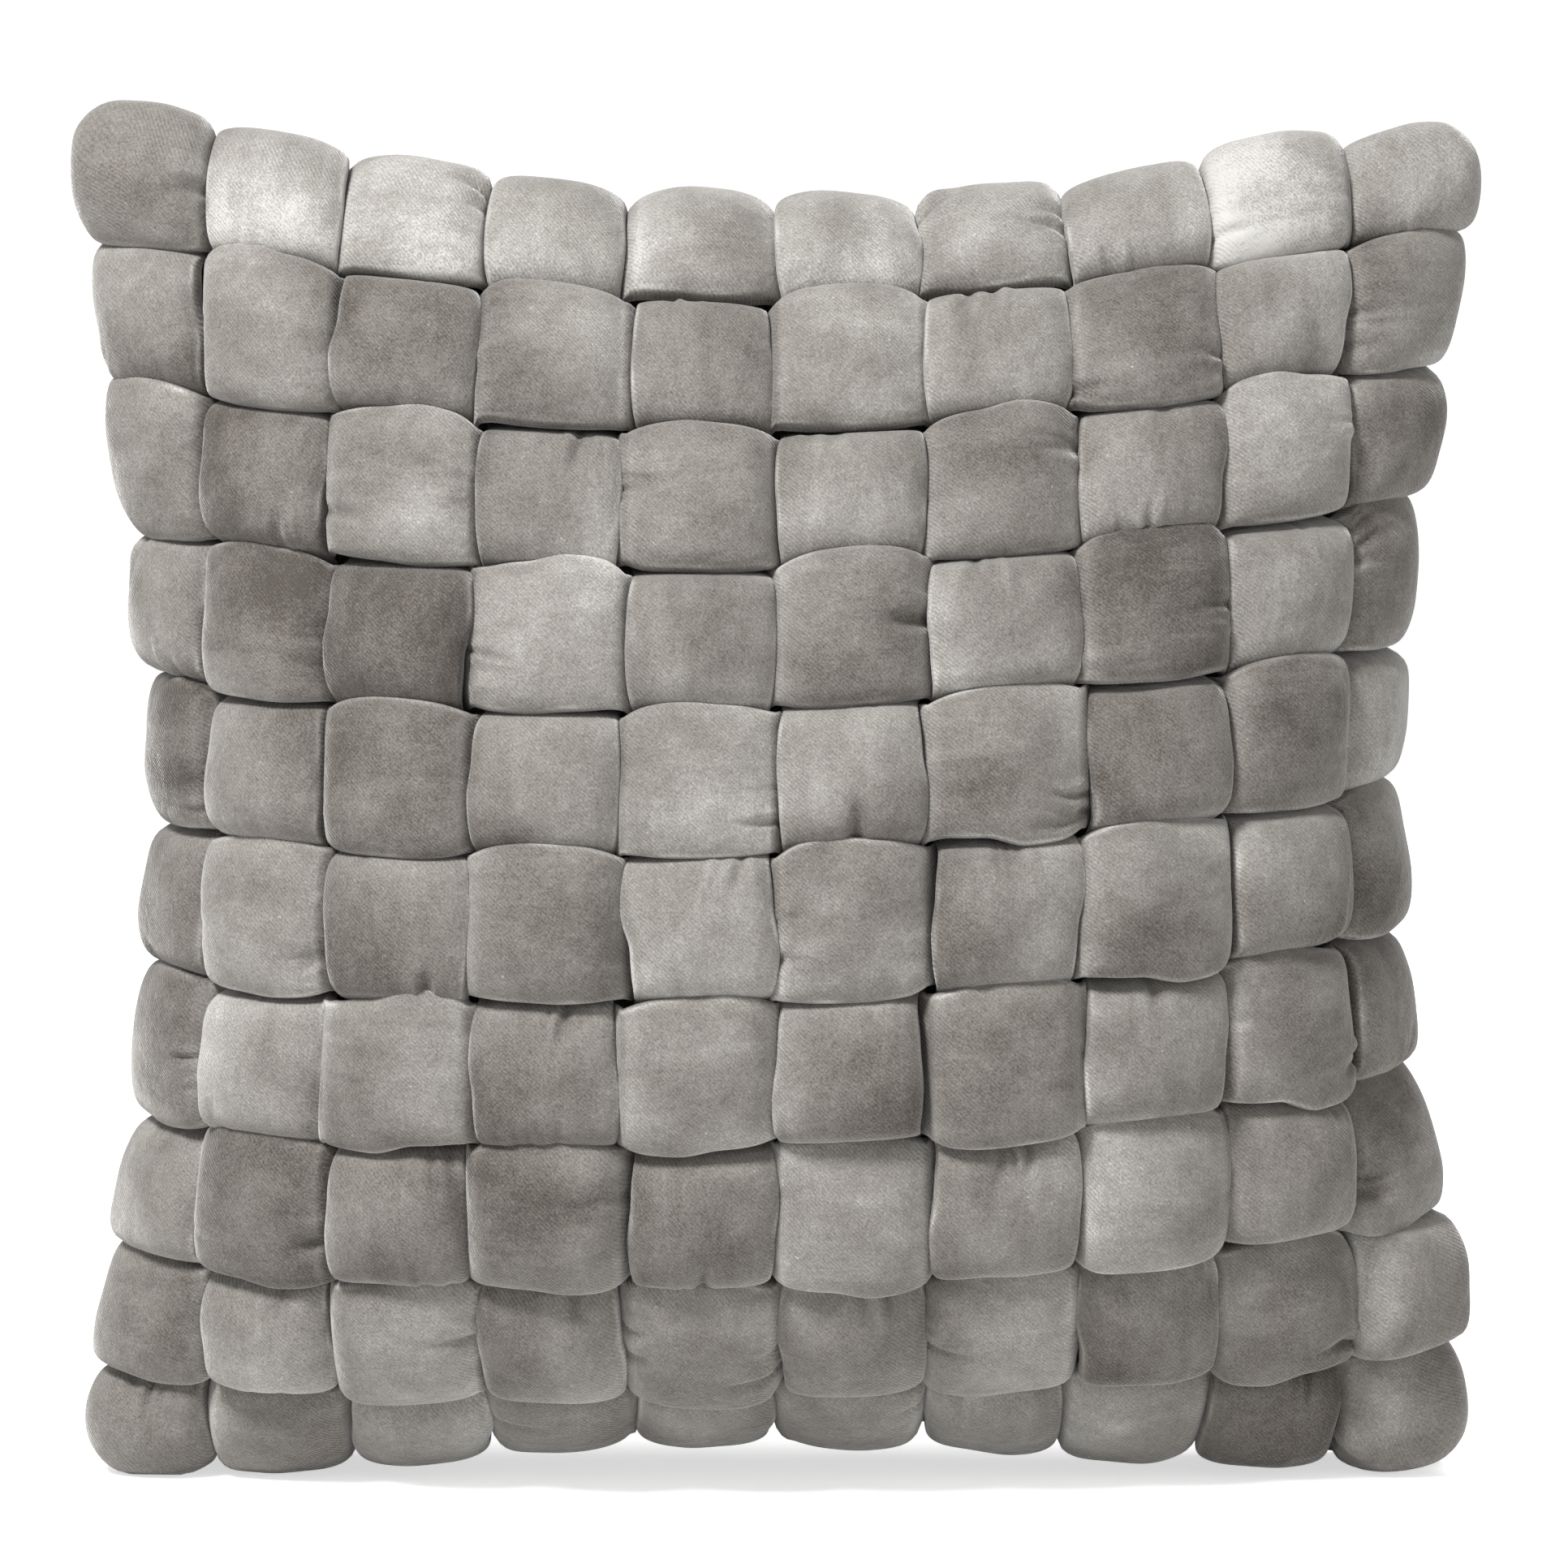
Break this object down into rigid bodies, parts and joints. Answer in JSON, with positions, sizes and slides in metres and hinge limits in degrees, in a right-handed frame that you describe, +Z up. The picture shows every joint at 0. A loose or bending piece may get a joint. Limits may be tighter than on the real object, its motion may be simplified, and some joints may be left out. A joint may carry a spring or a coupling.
{
  "type": "throw pillow",
  "caption": "Square throw pillow with a basket-woven front of padded velvet strips, a plain velvet back with a zip, and a separate insert.",
  "frame": {"origin": "centre of the bottom of the bounding box, on the floor that the pillow stands on", "axes": "+Z up, +X along the zip towards its closed end, the woven front faces -Y and the plain back faces +Y"},
  "size_m": [0.4571, 0.2028, 0.4488],
  "materials": {
    "velvet": "crushed cotton velvet, warm grey",
    "backing_cloth": "plain woven cotton",
    "ticking": "plain woven cotton, off-white",
    "fibre_fill": "loose fibre",
    "zip_tape": "woven polyester tape",
    "zip_teeth": "moulded nylon",
    "zip_metal": "satin nickel plate"
  },
  "bodies": {
    "pillow": {"warp_strip_01": "velvet", "warp_strip_02": "velvet", "warp_strip_03": "velvet", "warp_strip_04": "velvet", "warp_strip_05": "velvet", "warp_strip_06": "velvet", "warp_strip_07": "velvet", "warp_strip_08": "velvet", "warp_strip_09": "velvet", "warp_strip_10": "velvet", "weft_strip_01": "velvet", "weft_strip_02": "velvet", "weft_strip_03": "velvet", "weft_strip_04": "velvet", "weft_strip_05": "velvet", "weft_strip_06": "velvet", "weft_strip_07": "velvet", "weft_strip_08": "velvet", "weft_strip_09": "velvet", "weft_strip_10": "velvet", "front_lining": "backing_cloth", "back_panel_upper": "velvet", "back_panel_lower": "velvet", "insert_ticking_front": "ticking", "insert_ticking_back": "ticking", "insert_fill": "fibre_fill", "zip_tape_upper": "zip_tape", "zip_tape_lower": "zip_tape", "zip_teeth_upper": "zip_teeth", "zip_teeth_lower": "zip_teeth", "zip_stop_open_end": "zip_metal", "zip_stop_closed_end": "zip_metal"},
    "slider": {"zip_slider": "zip_metal"},
    "pull": {"zip_pull_tab": "zip_metal"}
  },
  "joints": [
    {"name": "zip_slide", "type": "slide", "parent": "pillow", "child": "slider", "axis": [-1, 0, 0], "range_m": [0, 0.279]},
    {"name": "pull_swing", "type": "hinge", "parent": "slider", "child": "pull", "pos_m": [0.1395, 0.0763, 0.062], "axis": [0, 0, 1], "range_deg": [-170, 0]}
  ]
}
